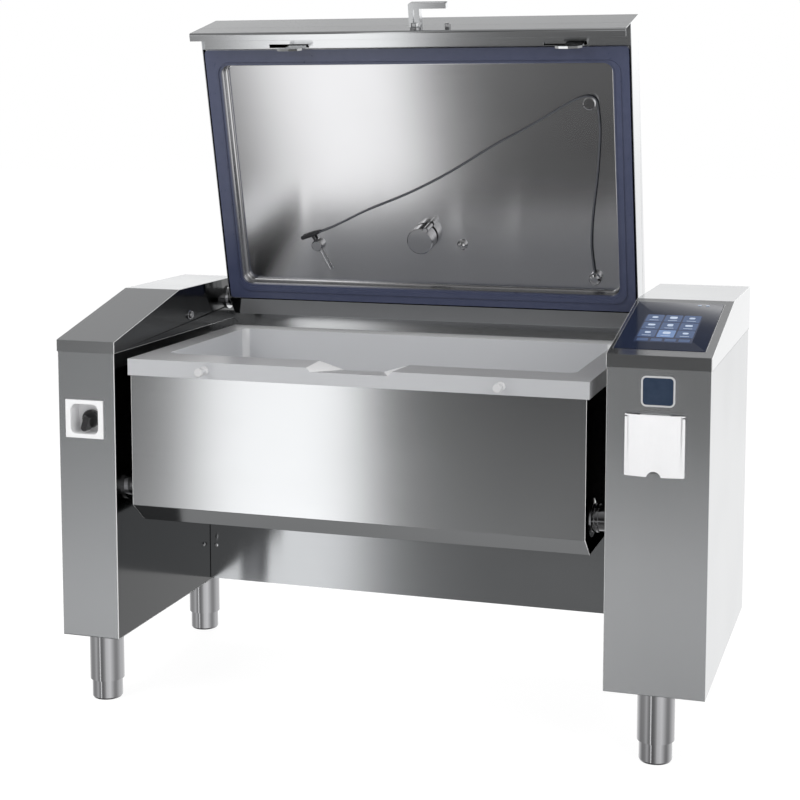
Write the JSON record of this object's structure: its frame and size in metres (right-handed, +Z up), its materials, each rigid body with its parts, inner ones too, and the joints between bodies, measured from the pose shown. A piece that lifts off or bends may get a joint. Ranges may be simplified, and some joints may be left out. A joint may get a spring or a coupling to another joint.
{
  "type": "tilting multifunction cooker",
  "caption": "Commercial tilting pressure pan between service columns, with hinged sealed lid, lock lever, touch panel, isolator and pouring spout.",
  "frame": {"origin": "on the floor, centred under the outer box of the cooker with its lid open", "axes": "+X to the right along the pan, +Y from the front to the back, +Z up"},
  "size_m": [1.634, 0.803, 1.7869],
  "materials": {
    "brushed_stainless": "brushed",
    "polished_stainless": "polished",
    "blue_rubber": "glossy",
    "wool": "matte",
    "black_glass": "glossy",
    "screen_plastic": "matte",
    "white_plastic": "satin",
    "black_plastic": "satin",
    "grey_cord": "satin",
    "motor_paint": "satin",
    "cast_aluminium": "matte",
    "zinc_sheet": "satin"
  },
  "bodies": {
    "frame": {"left_casing": "brushed_stainless", "left_hood": "brushed_stainless", "right_casing": "brushed_stainless", "right_hood": "brushed_stainless", "base_plates": "brushed_stainless", "crossbeam": "brushed_stainless", "casing_screws": "polished_stainless", "leg_tubes": "brushed_stainless", "feet": "brushed_stainless", "trunnion_bearing_left": "polished_stainless", "trunnion_bearing_right": "polished_stainless", "lid_bearing_left": "polished_stainless", "lid_bearing_right": "polished_stainless", "tilt_gearbox": "cast_aluminium", "tilt_motor": "motor_paint", "torsion_anchor": "zinc_sheet", "lid_torsion_bar": "polished_stainless", "touch_glass": "black_glass", "display_unit": "screen_plastic", "control_box": "zinc_sheet", "blank_plate": "zinc_sheet", "flap_tray": "brushed_stainless", "flap_pin": "polished_stainless", "switch_frame": "white_plastic", "switch_cup": "polished_stainless", "switch_body": "black_plastic"},
    "flap": {"flap_cover": "brushed_stainless"},
    "isolator_knob": {"switch_knob": "black_plastic"},
    "pan": {"pan_vessel": "brushed_stainless", "pan_jacket": "brushed_stainless", "heating_plates": "cast_aluminium", "pan_insulation": "wool", "trunnion_left": "polished_stainless", "trunnion_right": "polished_stainless", "latch_studs": "polished_stainless"},
    "lid": {"lid_shell": "brushed_stainless", "lid_apron": "brushed_stainless", "lid_tray": "brushed_stainless", "lid_seal": "blue_rubber", "hook_strip": "brushed_stainless", "lid_insulation": "wool", "lid_shaft_left": "polished_stainless", "lid_shaft_right": "polished_stainless", "bar_guides": "brushed_stainless", "lever_bush": "brushed_stainless", "lever_stop": "brushed_stainless", "vent_cap": "polished_stainless", "spray_nozzle": "polished_stainless", "cable_gland": "polished_stainless", "cable_knob": "polished_stainless", "probe_holder": "polished_stainless", "probe_needle": "polished_stainless", "probe_grip": "black_plastic", "probe_cable": "grey_cord"},
    "lock_lever": {"lock_lever": "brushed_stainless", "lock_crank": "brushed_stainless"},
    "lock_bar": {"lock_bar": "brushed_stainless", "lock_link": "brushed_stainless"}
  },
  "joints": [
    {"name": "pan_tilt", "type": "hinge", "parent": "frame", "child": "pan", "pos_m": [-0.039, -0.2875, 0.568], "axis": [1, 0, 0], "range_deg": [0, 85]},
    {"name": "lid_hinge", "type": "hinge", "parent": "frame", "child": "lid", "pos_m": [-0.039, 0.3505, 0.975], "axis": [-1, 0, 0], "range_deg": [-76.5, 0]},
    {"name": "lock_lever_turn", "type": "hinge", "parent": "lid", "child": "lock_lever", "pos_m": [-0.002, 0.06157, 1.72014], "axis": [0, -0.2334, 0.9724], "range_deg": [0, 90]},
    {"name": "lock_bar_slide", "type": "slide", "parent": "lid", "child": "lock_bar", "axis": [-1, 0, 0], "range_m": [0, 0.036]},
    {"name": "isolator_turn", "type": "hinge", "parent": "frame", "child": "isolator_knob", "pos_m": [-0.7415, -0.3425, 0.736], "axis": [0, 1, 0], "range_deg": [0, 90]},
    {"name": "flap_hinge", "type": "hinge", "parent": "frame", "child": "flap", "pos_m": [0.692, -0.368, 0.829], "axis": [-1, 0, 0], "range_deg": [0, 90]}
  ],
  "couplings": [
    {"joint": "lock_bar_slide", "follows": "lock_lever_turn", "m_per_rad": 0.022918}
  ]
}
